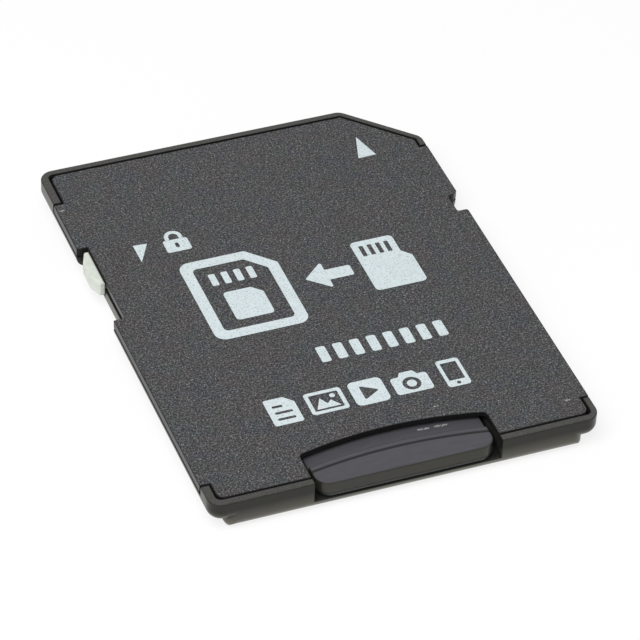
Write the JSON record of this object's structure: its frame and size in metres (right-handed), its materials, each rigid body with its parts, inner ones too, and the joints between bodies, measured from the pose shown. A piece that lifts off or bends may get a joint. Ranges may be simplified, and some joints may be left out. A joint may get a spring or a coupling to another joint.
{
  "type": "memory card adapter",
  "caption": "Full-size memory card adapter: two-part moulded case with a write-protect slider and rear finger recess, holding a small removable memory card.",
  "frame": {"origin": "middle of the adapter's outline, on the plane of its flat underside", "axes": "+X across the card to the side with the bevelled corner, +Y along the card to the contact end, +Z out of the printed face"},
  "size_m": [0.024, 0.032, 0.0021],
  "materials": {
    "case_plastic": "satin moulded",
    "cover_plastic": "fine sparkling grain",
    "slider_plastic": "satin",
    "carrier_plastic": "satin",
    "contact_gold": "gold plated",
    "latch_steel": "rolled strip",
    "card_plastic": "fine matt moulded",
    "card_board": "lacquered",
    "pad_gold": "gold plated"
  },
  "bodies": {
    "adapter": {"bottom_case": "case_plastic", "top_cover": "cover_plastic", "contact_carrier": "carrier_plastic", "contact_1": "contact_gold", "contact_2": "contact_gold", "contact_3": "contact_gold", "contact_4": "contact_gold", "contact_5": "contact_gold", "contact_6": "contact_gold", "contact_7": "contact_gold", "contact_8": "contact_gold", "contact_9": "contact_gold", "card_latch": "latch_steel"},
    "slider": {"lock_slider": "slider_plastic"},
    "small_card": {"small_card_body": "card_plastic", "small_card_base": "card_board", "card_pad_1": "pad_gold", "card_pad_2": "pad_gold", "card_pad_3": "pad_gold", "card_pad_4": "pad_gold", "card_pad_5": "pad_gold", "card_pad_6": "pad_gold", "card_pad_7": "pad_gold", "card_pad_8": "pad_gold"}
  },
  "joints": [
    {"name": "lock_slide", "type": "slide", "parent": "adapter", "child": "slider", "axis": [0, -1, 0], "range_m": [0, 0.0033]},
    {"name": "card_slide", "type": "slide", "parent": "adapter", "child": "small_card", "axis": [0, -1, 0], "range_m": [0, 0.014]}
  ]
}
